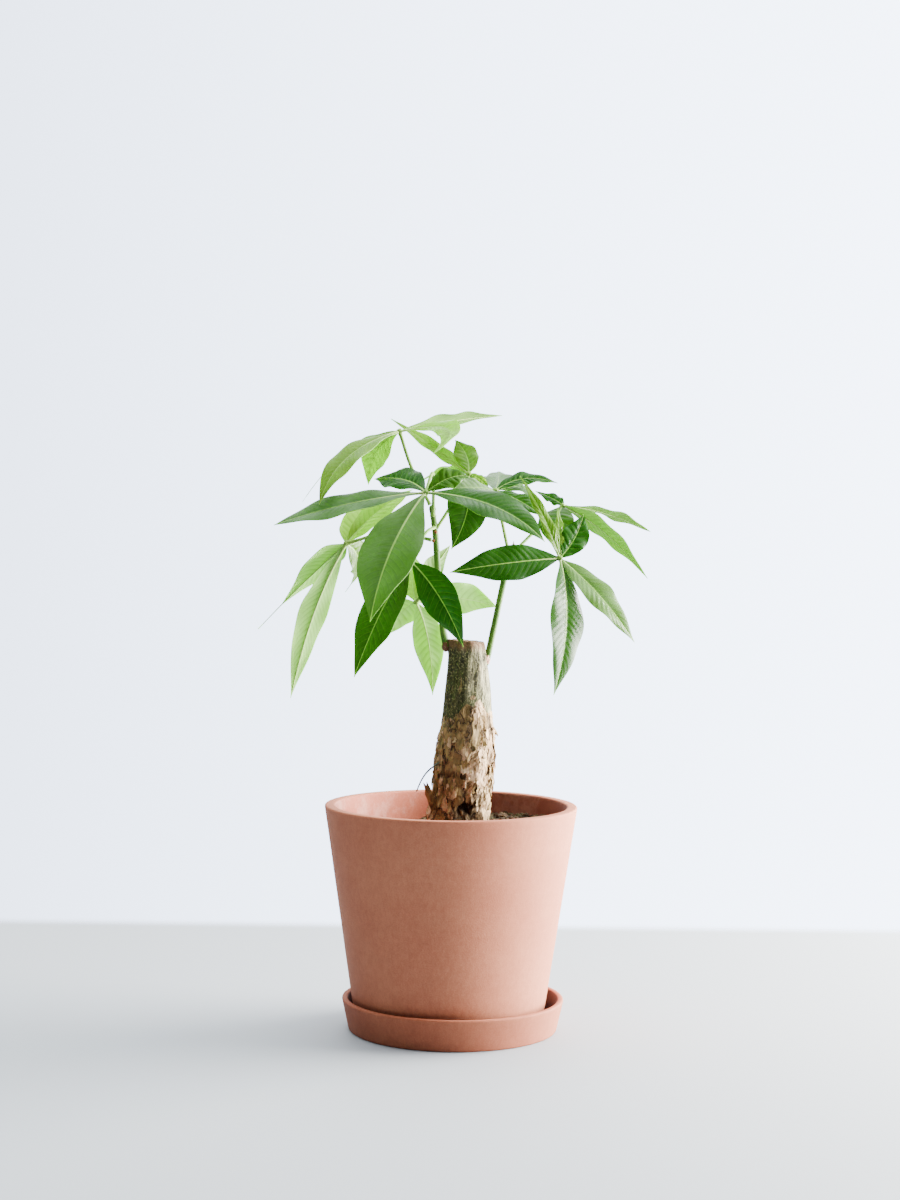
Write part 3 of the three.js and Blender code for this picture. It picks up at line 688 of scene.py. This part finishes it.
def make_trunk():
    pile = Pile(("scaly", "hollow", "age"))
    heights = np.repeat(np.linspace(BARK_FOOT, TRUNK_TOP, BARK_ROWS), BARK_SIDES)
    angles = np.tile(np.arange(BARK_SIDES) * TURN / BARK_SIDES, BARK_ROWS)
    plain = trunk_surface(angles, heights)
    scaly = scaly_share(angles, heights + 9 * fractal(plain, 0.07, 3, 7))
    hollow = hollow_share(angles + 0.25 * fractal(plain, 0.15, 2, 12), heights)
    streaks = fractal(drawn_out(plain, 0.16), 0.35, 4, 2)
    plates = fractal(drawn_out(plain, 0.55), 0.15, 4, 5)
    grain = fractal(drawn_out(plain, 0.5), 0.9, 3, 9)
    terrace = np.round(plates * 3.2) / 3.2
    extra = 0.22 * streaks + 0.12 * grain + scaly * (1.3 * terrace + 0.5 * plates + 0.3 * grain)
    extra -= HOLLOW["deep"] * hollow * (1 + 0.5 * grain)
    extra -= 0.7 * smooth_step(TRUNK_TOP - 2.5, TRUNK_TOP, heights) * (1 + 0.5 * streaks)
    skin = trunk_surface(angles, heights, extra)
    # The saw cut slants down to the right and is a little uneven.
    cut = 0.8 * (1 + np.cos(angles)) + 0.5 * (1 + fractal(drawn_out(skin, 0), 0.25, 3, 15))
    skin[:, 2] -= cut * smooth_step(TRUNK_TOP - 30, TRUNK_TOP, heights)
    values = {"scaly": scaly, "hollow": hollow, "age": smooth_step(-0.35, 0.35, terrace)}
    pile.add(skin, grid_faces(BARK_ROWS, BARK_SIDES, wrap=True), 0, **values)
    pile.add(*sawn_top(skin[-BARK_SIDES:]), 1)
    add_scraps(pile)
    for index, flake in enumerate(FLAKES):
        for points, faces in torn_flake(flake, index):
            pile.add(points, faces, 2, age=0.45)
    pile.add(*aerial_root(), 3)
    root = stem_material("aerial_root", (96, 98, 92), (70, 66, 58), 300)
    materials = [bark_material(), sawn_material(), peel_material(), root]
    pile.build("trunk", materials)


def sawn_top(edge):
    """The dished saw cut, from the bark's last ring to the centre."""
    rings = 26
    centre = np.array([trunk_axis(TRUNK_TOP)[0], 0, np.mean(edge[:, 2])])
    points = []
    for share in 1 - np.arange(rings) / (rings - 1) * 0.999:
        flat = centre + (edge - centre) * share
        flat[:, 2] -= 1.5 * (1 - share**3) * (1 + 0.1 * np.sin(share * 60))
        points.append(flat)
    return np.concatenate(points), grid_faces(rings, len(edge), wrap=True)


def sheet(outer, inner, rows, columns):
    """The two sides and the rim of a thin sheet, each as points and faces."""
    return [
        (outer, grid_faces(rows, columns)),
        (inner, grid_faces(rows, columns, flip=True)),
        rim(outer, inner, rows, columns),
    ]


def add_scraps(pile):
    """Adds the thin scraps of bark that lift from the lower trunk."""
    draw = random.Random(11)
    for kind in SCRAPS:
        for _ in range(kind["number"]):
            tall = draw.uniform(*kind["tall"])
            wide = draw.uniform(*kind["wide"])
            lift = draw.uniform(*kind["lift"])
            height = draw.triangular(162, 262, 195)
            angle = draw.uniform(0, TURN)
            hinge = draw.uniform(0, TURN)
            age = draw.random()
            if scaly_share(angle, height + tall / 2) < 0.5 or hollow_share(angle, height) > 0:
                continue
            for points, faces in scrap(height, angle, tall, wide, lift, hinge):
                pile.add(points, faces, 2, age=age)


def scrap(height, angle, tall, wide, lift, hinge):
    """One curled scrap, held to the trunk on the side that the hinge angle points away from."""
    spread = np.linspace(-1, 1, SCRAP_POINTS)
    along, across = (grid.ravel() for grid in np.meshgrid(spread, spread, indexing="ij"))
    torn = fractal(np.column_stack([along, across, np.full(len(along), height)]), 2.4, 3, 3)
    ragged = (1 + 0.55 * torn) * (1 - 0.2 * (along * across) ** 2)
    angles = angle + across * wide / 2 * ragged
    heights = height + along * tall / 2 * ragged
    away = np.clip(0.5 + 0.5 * (along * math.cos(hinge) + across * math.sin(hinge)), 0, 1)
    outer = trunk_surface(angles, heights, 0.45 + lift * away**2)
    inner = trunk_surface(angles, heights, 0.1 + lift * away**2)
    return sheet(outer, inner, SCRAP_POINTS, SCRAP_POINTS)


def torn_flake(form, seed):
    """One of the CAD's flakes as a curled strip with a ragged, torn end."""
    rows, columns = 26, 11
    across = np.linspace(-1, 1, columns)
    shares = np.linspace(0, 1, rows)
    spine, tangents = bend(form["at"], form["mid"], form["tip"], shares)
    uppers, sideways = turning(tangents, form["face"])
    points = []
    for t, spot, tangent, upper, side in zip(shares, spine, tangents, uppers, sideways):
        places = np.column_stack([across, np.full(columns, 3 * t), np.full(columns, seed)])
        torn = 1 + 0.3 * fractal(places, 1.1, 3, 21)
        wide = 0.42 * form["width"] * math.sin(math.pi * (0.12 + 0.72 * t)) ** 0.7 * torn
        curl = 0.2 * form["width"] * (1 - across**2) * (0.4 + t)
        reach = t * 0.16 * form["width"] * np.sin(5 * across + seed)
        row = spot + np.outer(across * wide, side) + np.outer(curl, upper)
        points.append(row + np.outer(reach, unit(tangent)))
    outer = np.concatenate(points)
    inner = outer - 0.5 * np.repeat(uppers, columns, axis=0)
    return sheet(outer, inner, rows, columns)


def aerial_root():
    path = spline(AERIAL_ROOT, 60)
    path = path + np.outer(fractal(path, 0.2, 2, 8), (0.4, 0.3, 0.3))
    return sweep(path, np.linspace(0.75, 0.5, 60), 8)


def smooth_bark(n, near):
    """The olive bark of the upper trunk, with painted light on its right side, and its long streaks."""
    tall = n.place(0.14)
    streaks = n.noise(tall, 520, 5, 0.7)
    olive = n.mix(n.span(streaks, 0.36, 0.64), colour(44, 42, 26), colour(80, 77, 50))
    green = n.span(n.noise(near, 38, 3), 0.45, 0.62, 0, 0.55)
    olive = n.mix(green, olive, (0.95, 1.25, 0.5, 1), "MULTIPLY")
    tan_spots = n.span(n.noise(n.place(0.3), 95, 3), 0.6, 0.66, 0, 0.75)
    olive = n.mix(tan_spots, olive, colour(140, 112, 76))
    pale_specks = n.span(n.noise(near, 950, 3), 0.55, 0.63, 0, 0.55)
    olive = n.mix(pale_specks, olive, colour(168, 160, 112))
    dark_specks = n.span(n.noise(n.place(1.4), 620, 3), 0.44, 0.36, 0, 0.7)
    olive = n.mix(dark_specks, olive, colour(34, 28, 18))
    # Painted light: the right side of the bark is lightened in streaks towards pale grey, where the
    # window light falls.
    painted_light_right = n.times(n.span(n.axis("X"), 0.009, 0.024, 0, 0.6), n.span(streaks, 0.4, 0.6))
    olive = n.mix(painted_light_right, olive, colour(186, 178, 140))
    ragged_height = n.plus(n.axis("Z"), n.times(n.noise(tall, 260, 3), 0.012))
    below_cut = n.span(ragged_height, 0.304, 0.312, 0, 0.8)
    return n.mix(below_cut, olive, colour(104, 72, 50)), streaks


def scaly_bark(n, near):
    """The mosaic of tan plates on the lower trunk, and the height of its relief without streaks."""
    patches = n.noise(near, 120, 5, 0.65)
    piece, gap = n.ragged_cells(near, 95, 0.012)
    paler = n.plus(piece, n.span(n.axis("Z"), 0.19, 0.225, -0.08, 0.16))
    tan = n.mix(n.span(paler, 0.38, 0.44), colour(92, 70, 42), colour(152, 122, 80))
    tan = n.mix(n.span(paler, 0.54, 0.6), tan, colour(210, 174, 136))
    tan = n.mix(n.span(patches, 0.62, 0.36, 0, 0.5), tan, (0.5, 0.44, 0.36, 1), "MULTIPLY")
    tan = n.mix(n.span(n.value("age"), 0.6, 0.3, 0, 0.45), tan, colour(88, 74, 44))
    fine = n.noise(near, 360, 5, 0.7)
    tan = n.mix(n.span(fine, 0.52, 0.62, 0, 0.6), tan, colour(66, 50, 32))
    # Dark lines along the plates' borders: partly their darker bark, partly painted shade in the cracks
    # between them.
    tan = n.mix(n.span(gap, 0.07, 0, 0, 0.85), tan, colour(46, 33, 22))
    # Pale bare bark in patches, partly real, pushed towards the right side, where it also paints the
    # window light falling there.
    east = n.span(n.axis("X"), 0.012, 0.03, 0, 0.1)
    bare_bark_and_painted_light = n.plus(n.noise(n.place(0.35), 70, 3), east)
    tan = n.mix(n.span(bare_bark_and_painted_light, 0.56, 0.62, 0, 0.85), tan, colour(206, 174, 132))
    layers = n.plus(n.times(piece, 0.8), n.span(gap, 0, 0.08, 0, 0.4))
    relief = n.math("SUBTRACT", patches, fine)
    return tan, n.plus(relief, n.times(layers, n.value("scaly")))


def bark_material():
    n = Nodes("bark")
    near = n.place(0.6)
    olive, streaks = smooth_bark(n, near)
    tan, relief = scaly_bark(n, near)
    border = n.plus(n.value("scaly"), n.math("SUBTRACT", n.noise(near, 130, 4), 0.5))
    shade = n.mix(n.span(border, 0.42, 0.56), olive, tan)
    # Painted shade: the hollow is painted near black-brown for the shade inside it.
    shade = n.mix(n.value("hollow"), shade, colour(44, 30, 20))
    normal = n.bump(n.plus(relief, n.times(streaks, 0.4)), 0.0016, 0.9)
    return n.finish(n.surface(shade, 0.82, 0.25, normal))


def peel_material():
    """Loose bark: each scrap has its own age, from clean pinkish tan to weathered brown."""
    n = Nodes("peeling_bark")
    near = n.place(0.5)
    patches = n.span(n.noise(near, 160, 5, 0.65), 0.34, 0.64)
    fresh = n.mix(patches, colour(176, 140, 102), colour(222, 190, 154))
    old = n.mix(patches, colour(94, 78, 46), colour(168, 140, 92))
    shade = n.mix(n.span(n.value("age"), 0.7, 0.5), fresh, old)
    shade = n.mix(n.span(n.noise(near, 420, 3), 0.54, 0.66, 0, 0.6), shade, colour(84, 62, 40))
    normal = n.bump(n.noise(n.place(0.2), 700), 0.0005, 0.6)
    return n.finish(n.surface(shade, 0.75, 0.3, normal))


def sawn_material():
    """Sawn wood with fine rings round the trunk's axis."""
    n = Nodes("sawn_wood")
    where = n.place()
    east = n.math("SUBTRACT", n.axis("X"), float(trunk_axis(TRUNK_TOP)[0]) * MM)
    north = n.axis("Y")
    radius = n.math("SQRT", n.plus(n.times(east, east), n.times(north, north)))
    bent = n.plus(radius, n.times(n.noise(where, 140), 0.0016))
    rings = n.math("SINE", n.times(bent, 5200.0))
    shade = n.mix(n.span(rings, -1, 1), colour(104, 74, 50), colour(140, 106, 74))
    shade = n.mix(n.span(n.noise(where, 260), 0.45, 0.7, 0, 0.6), shade, colour(84, 58, 38))
    shade = n.mix(n.span(radius, 0.0118, 0.0138), shade, colour(84, 50, 34))
    return n.finish(n.surface(shade, 0.85, 0.5, n.bump(n.noise(where, 500), 0.0005, 0.5)))


# ---- pot, saucer and soil
# Painted shade on the inner wall: what its colour is multiplied by on its left and right, the pot darkest
# on its right, which faces away from the window light, and the saucer dark all round in the shade of the
# pot; then the share of pale stain patches, real marks laid mostly on the pot's lit left side, where they
# also paint light.
POT_INNER_PAINTED_SHADE = {"left": (1, 0.8, 0.84, 1), "right": (0.3, 0.26, 0.36, 1), "stains_and_painted_light": 0.28}
SAUCER_INNER_PAINTED_SHADE = {"left": (0.3, 0.27, 0.3, 1), "right": (0.15, 0.16, 0.22, 1), "stains_and_painted_light": 0}


def outer_radius(form, height):
    return np.interp(height, [form["bottom"], form["top"]], [form["foot"], form["rim"]])


def pot_inner(height):
    return outer_radius(POT, height) - POT["wall"]


def rounded(profile, corners, steps=6):
    """A profile with each listed corner cut back to an arc-like curve of the given size."""
    smooth = []
    for index, point in enumerate(profile):
        size = corners.get(index)
        if size is None:
            smooth.append(point)
            continue
        here = np.array(point, float)
        before = here + unit(profile[index - 1] - here) * size
        after = here + unit(profile[index + 1] - here) * size
        for t in np.arange(steps + 1) / steps:
            smooth.append(tuple((1 - t) ** 2 * before + 2 * t * (1 - t) * here + t * t * after))
    return smooth


def fill(profile, step=4.0):
    """Adds points along the long straight runs, so that the surface can be roughened."""
    points = [profile[0]]
    for start, end in zip(profile[:-1], profile[1:]):
        count = max(1, int(math.dist(start, end) / step))
        points.extend(np.linspace(start, end, count + 1)[1:])
    return points


def clay(node, form, hole, inner_foot, corners, material):
    """A turned clay vessel, slightly uneven; its points know whether they are on the inner wall."""
    bottom, top, rim_radius, wall = form["bottom"], form["top"], form["rim"], form["wall"]
    floor = bottom + form["floor"]
    profile = [
        (hole, floor),
        (hole, bottom),
        (form["foot"], bottom),
        (rim_radius, top),
        (rim_radius - wall, top),
        (inner_foot, floor),
        (hole, floor),
    ]
    points, faces = turned(fill(rounded(profile, corners)), 240)
    radial = points * (1, 1, 0)
    length = np.linalg.norm(radial, axis=1)
    uneven = 0.16 * fractal(points, 0.02, 2, 1) + 0.05 * fractal(points, 0.12, 2, 2)
    points = points + radial / length[:, None] * np.minimum(uneven, 0.0)[:, None]
    inner = smooth_step(1 - wall, 0.1 - wall, length - outer_radius(form, points[:, 2]))
    points[:, 0] += form["centre_x"]
    pile = Pile(("inner",))
    pile.add(points, faces, inner=inner)
    pile.build(node, [material])


def make_pot():
    inner_foot = pot_inner(POT["bottom"] + POT["floor"])
    material = clay_material("clay_pot", (174, 104, 76), (183, 114, 84), POT_INNER_PAINTED_SHADE)
    clay("pot", POT, DRAIN_RADIUS, inner_foot, {1: 1, 2: 3, 3: 2, 4: 2, 5: 7}, material)


def make_saucer():
    inner_foot = SAUCER["foot"] - SAUCER["wall"]
    material = clay_material("clay_saucer", (156, 88, 62), (166, 99, 71), SAUCER_INNER_PAINTED_SHADE)
    clay("saucer", SAUCER, PINHOLE, inner_foot, {2: 1.6, 3: 2.2, 4: 2.2, 5: 3}, material)


def clay_material(name, deep, pale, inside):
    n = Nodes(name)
    where = n.place()
    cloud = n.span(n.noise(where, 14, 5, 0.55), 0.3, 0.7)
    shade = n.mix(cloud, colour(*deep), colour(*pale))
    fine = n.noise(where, 900, 3, 0.7)
    shade = n.mix(n.span(fine, 0.35, 0.68, 0.4, 0), shade, (0.72, 0.66, 0.62, 1), "MULTIPLY")
    brushed = n.span(n.noise(n.place(5), 60, 5, 0.7), 0.35, 0.65, 0.09, 0)
    shade = n.mix(brushed, shade, (0.6, 0.56, 0.54, 1), "MULTIPLY")
    pits = n.span(n.cells(where, 480), 0.12, 0.04)
    shade = n.mix(n.times(pits, 0.35), shade, colour(120, 74, 54))
    grain = n.span(n.noise(n.place(0.45), 340, 4, 0.7), 0.36, 0.62, 0.3, 0)
    shade = n.mix(grain, shade, (0.74, 0.68, 0.64, 1), "MULTIPLY")
    # Painted shade on the inner wall, darker towards the right; pale stain patches, partly painted light,
    # lie mostly on the left.
    east = n.span(n.axis("X"), -0.03, 0.05)
    inner_painted_shade = n.mix(east, inside["left"], inside["right"])
    shade = n.mix(n.value("inner"), shade, inner_painted_shade, "MULTIPLY")
    stains_and_painted_light = n.noise(n.place(0.8), 34, 8, 0.75)
    stains_and_painted_light = n.span(stains_and_painted_light, 0.44, 0.64, 0, inside["stains_and_painted_light"])
    stains_and_painted_light = n.times(stains_and_painted_light, n.math("SUBTRACT", 1.0, n.times(east, 0.75)))
    shade = n.mix(n.times(stains_and_painted_light, n.value("inner")), shade, colour(226, 186, 170))
    relief = n.math("SUBTRACT", fine, n.times(pits, 1.2))
    return n.finish(n.surface(shade, 0.78, 0.3, n.bump(relief, 0.0003, 0.45)))


SOIL_EDGE = pot_inner(SOIL["edge_height"]) - 0.3
CRUMBS = 900
# What lies on the soil: how many in a hundred, the range of its radius, its dark and light colour.
SOIL_KINDS = {
    "soil_crumb": (60, (1, 3), (40, 28, 18), (72, 52, 32)),
    "soil_chip": (12, (1.5, 3.4), (66, 50, 34), (98, 78, 54)),
    "soil_grit": (1, (0.8, 1.4), (170, 164, 146), (206, 200, 184)),
    "soil_moss": (27, (1.2, 3), (46, 40, 24), (70, 62, 38)),
}


def soil_surface(east, north):
    """Points on the soil: the CAD's mound, which lies higher on the right, with crumbs on it."""
    reach = np.hypot(east, north) / SOIL_EDGE
    points = np.column_stack([east, north, np.zeros(len(east))])
    rough = 1.3 * fractal(points, 0.06, 3, 3) + 0.8 * fractal(points, 0.3, 3, 6)
    height = SOIL["edge_height"] + SOIL["right_rise"] * east / SOIL_EDGE
    height = height + SOIL["mound"] * (1 - reach**2) + rough
    fit = (pot_inner(height) - 0.3) / SOIL_EDGE
    return np.column_stack([east * fit, north * fit, height])


def make_soil():
    rings, sides = 90, 220
    pile = Pile()
    angles = np.arange(sides) * TURN / sides
    reaches = SOIL_EDGE * (1 - np.arange(rings) / (rings - 1) * 0.995)
    rows = [soil_surface(reach * np.cos(angles), reach * np.sin(angles)) for reach in reaches]
    skirt = rows[0] * (0.985, 0.985, 1) - (0, 0, 6)
    pile.add(np.concatenate([skirt, *rows]), grid_faces(rings + 1, sides, wrap=True), 0)
    draw = random.Random(5)
    chances = [kind[0] for kind in SOIL_KINDS.values()]
    ranges = [kind[1] for kind in SOIL_KINDS.values()]
    for index in range(CRUMBS):
        kind = draw.choices(range(len(ranges)), chances)[0]
        size = draw.uniform(*ranges[kind])
        reach = SOIL_EDGE * math.sqrt(draw.random()) * 0.97
        angle = draw.uniform(0, TURN)
        reach = min(reach, SOIL_EDGE - size)
        east, north = reach * math.cos(angle), reach * math.sin(angle)
        if math.hypot(east - TRUNK_FOOT["x"], north) < TRUNK_FOOT["radius"]:
            continue
        place = soil_surface(np.array([east]), np.array([north]))[0] + (0, 0, size * 0.2)
        pile.add(*lump(place, size, index, draw.uniform(0.4, 0.9), 0.7), kind + 1)
    materials = [earth_material("soil_earth", (34, 27, 18), (60, 49, 32), green=0.45)]
    for name, (_, _, dark, light) in SOIL_KINDS.items():
        materials.append(earth_material(name, dark, light))
    pile.build("soil", materials)


def earth_material(name, dark, light, green=0.0):
    """Grainy earth, where green is the most that patches of it are covered by moss."""
    n = Nodes(name)
    where = n.place()
    grains = n.noise(where, 600, 5, 0.7)
    shade = n.mix(n.span(grains, 0.35, 0.68), colour(*dark), colour(*light))
    if green:
        shade = n.mix(n.span(n.noise(where, 45, 3), 0.52, 0.62, 0, green), shade, colour(52, 52, 26))
    return n.finish(n.surface(shade, 0.95, 0.2, n.bump(grains, 0.0014, 0.8)))


# ---- stage, light and camera
# Places and diameters of the lamps are in metres, their powers in watts.
WALL_TINT = (0.7, 0.8, 1, 1)
WALL_STRENGTH = (4.6, 8.6)
ROOM_TINT = (0.9, 0.95, 1, 1)
ROOM_STRENGTH = (0.2, 4.5)
BRIGHT_SIDE = (0.6, 0.8, 0.2)
LAMPS = {
    "window": {"place": (1.15, 0.28, 0.26), "target": (0, 0, 0.16), "size": 1.3, "power": 290},
    "sky": {"place": (-0.2, 0.1, 1.8), "target": (0, 0, 0.2), "size": 1.6, "power": 70},
}
LAMPS["window"].update({"tint": (1, 0.975, 0.935), "mirrored": True})
LAMPS["sky"].update({"tint": (0.95, 0.98, 1), "mirrored": False})
# The view that was fitted to the picture: place in millimetres, turns in radians, focal length in
# the picture's pixels, and the picture's height in them.
CAMERA = {"x": -2.66, "distance": 1700, "height": 397.3}
CAMERA.update({"tilt": 0.034, "roll": 0.0114, "focal_pixels": 2156.6, "picture_height": 1200})


def make_floor():
    """A pale table top that ends softly on all sides."""
    mesh = bpy.data.meshes.new("floor")
    reach, back = 1.1, 0.5
    corners = [(-reach, -reach, 0), (reach, -reach, 0), (reach, back, 0), (-reach, back, 0)]
    mesh.from_pydata(corners, [], [(0, 1, 2, 3)])
    floor = bpy.data.objects.new("floor", mesh)
    bpy.context.scene.collection.objects.link(floor)
    n = Nodes("floor")
    inputs = {"Base Color": (0.33, 0.355, 0.38, 1), "Roughness": 0.7}
    solid = n.node("ShaderNodeBsdfPrincipled", inputs).outputs[0]
    clear = n.node("ShaderNodeBsdfTransparent").outputs[0]
    fade = n.span(n.math("ABSOLUTE", n.axis("X")), 0.7, 1.05)
    for full, gone in ((0.41, 0.46), (-0.7, -1.05)):
        fade = n.math("MAXIMUM", fade, n.span(n.axis("Y"), full, gone))
    mesh.materials.append(n.finish(solid, clear, fade))


def area_light(name, place, target, size, power, tint, mirrored):
    data = bpy.data.lights.new(name, "AREA")
    data.shape = "DISK"
    data.size = size
    data.energy = power
    data.color = tint
    lamp = bpy.data.objects.new(name, data)
    lamp.location = place
    lamp.rotation_euler = (Vector(target) - Vector(place)).to_track_quat("-Z", "Y").to_euler()
    lamp.visible_camera = False
    lamp.visible_glossy = mirrored
    bpy.context.scene.collection.objects.link(lamp)


def make_lights():
    """Soft light that is dim in front and bright from behind and from the right."""
    world = bpy.data.worlds.new("studio")
    bpy.context.scene.world = world
    n = Nodes(world=world)
    where = n.node("ShaderNodeTexCoord").outputs["Generated"]
    east = n.node("ShaderNodeSeparateXYZ", {0: where}).outputs["X"]
    strength = n.span(east, -0.2, 0.2, *WALL_STRENGTH, curve="LINEAR")
    wall = n.node("ShaderNodeBackground", {"Color": WALL_TINT, "Strength": strength}).outputs[0]
    sides = {0: where, 1: Vector(BRIGHT_SIDE).normalized()}
    facing = n.node("ShaderNodeVectorMath", sides, operation="DOT_PRODUCT").outputs["Value"]
    strength = n.span(facing, -0.1, 0.9, *ROOM_STRENGTH)
    room = n.node("ShaderNodeBackground", {"Color": ROOM_TINT, "Strength": strength}).outputs[0]
    seen = n.node("ShaderNodeLightPath").outputs["Is Camera Ray"]
    n.finish(room, wall, seen)
    for name, lamp in LAMPS.items():
        area_light(name, **lamp)


def make_camera():
    data = bpy.data.cameras.new("camera")
    data.sensor_width = 36
    data.lens = CAMERA["focal_pixels"] * data.sensor_width / CAMERA["picture_height"]
    data.clip_start = 0.05
    data.clip_end = 50
    camera = bpy.data.objects.new("camera", data)
    place = Vector((CAMERA["x"], -CAMERA["distance"], CAMERA["height"])) * MM
    tilt = Matrix.Rotation(math.pi / 2 - CAMERA["tilt"], 4, "X")
    camera.matrix_world = Matrix.Translation(place) @ tilt @ Matrix.Rotation(CAMERA["roll"], 4, "Z")
    bpy.context.scene.collection.objects.link(camera)
    bpy.context.scene.camera = camera


make_camera()
make_lights()
make_floor()
make_saucer()
make_pot()
make_soil()
make_trunk()
make_shoots()
make_leaves()
